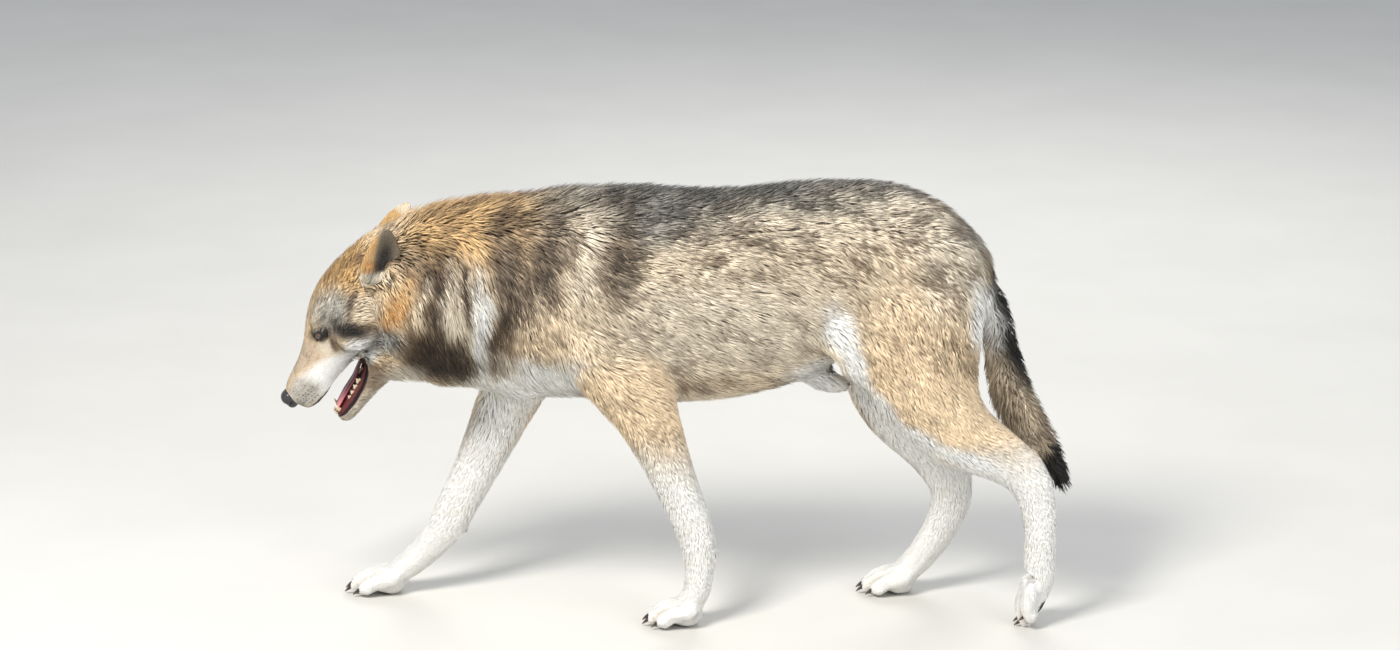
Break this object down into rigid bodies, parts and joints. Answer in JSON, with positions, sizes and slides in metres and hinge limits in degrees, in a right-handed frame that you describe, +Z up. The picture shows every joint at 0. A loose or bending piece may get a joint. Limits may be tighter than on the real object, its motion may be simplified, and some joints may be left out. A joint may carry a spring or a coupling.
{
  "type": "life-size wolf model, walking with a low head and an open mouth",
  "caption": "Life-size grey wolf, still model: mid-stride on a flat floor, head held low, ears laid back, mouth open, tail hanging.",
  "frame": {"origin": "on the floor under the middle of the box round the model", "axes": "+Z up, the wolf walks towards -X, its left side faces -Y"},
  "size_m": [1.3676, 0.279, 0.7695],
  "materials": {
    "grey_coat": "dense winter coat, grey-black tips over beige",
    "tan_coat": "short tan and ochre coat",
    "cream_coat": "short cream-white coat",
    "dark_coat": "long dark coat of the tail",
    "eye_amber": "glossy amber glass eye",
    "nose_leather": "dark grained nose leather, slightly moist",
    "tongue_flesh": "moist pink tongue"
  },
  "bodies": {
    "root": {"head": "tan_coat", "lower_jaw": "cream_coat", "nose": "nose_leather", "tongue": "tongue_flesh", "eye_left": "eye_amber", "eye_right": "eye_amber", "ear_left": "tan_coat", "ear_right": "tan_coat", "neck": "grey_coat", "trunk": "grey_coat", "tail": "dark_coat", "foreleg_left": "tan_coat", "foreleg_right": "tan_coat", "forepaw_left": "cream_coat", "forepaw_right": "cream_coat", "thigh_left": "tan_coat", "thigh_right": "tan_coat", "shank_left": "cream_coat", "shank_right": "cream_coat", "hindpaw_left": "cream_coat", "hindpaw_right": "cream_coat"}
  },
  "joints": []
}
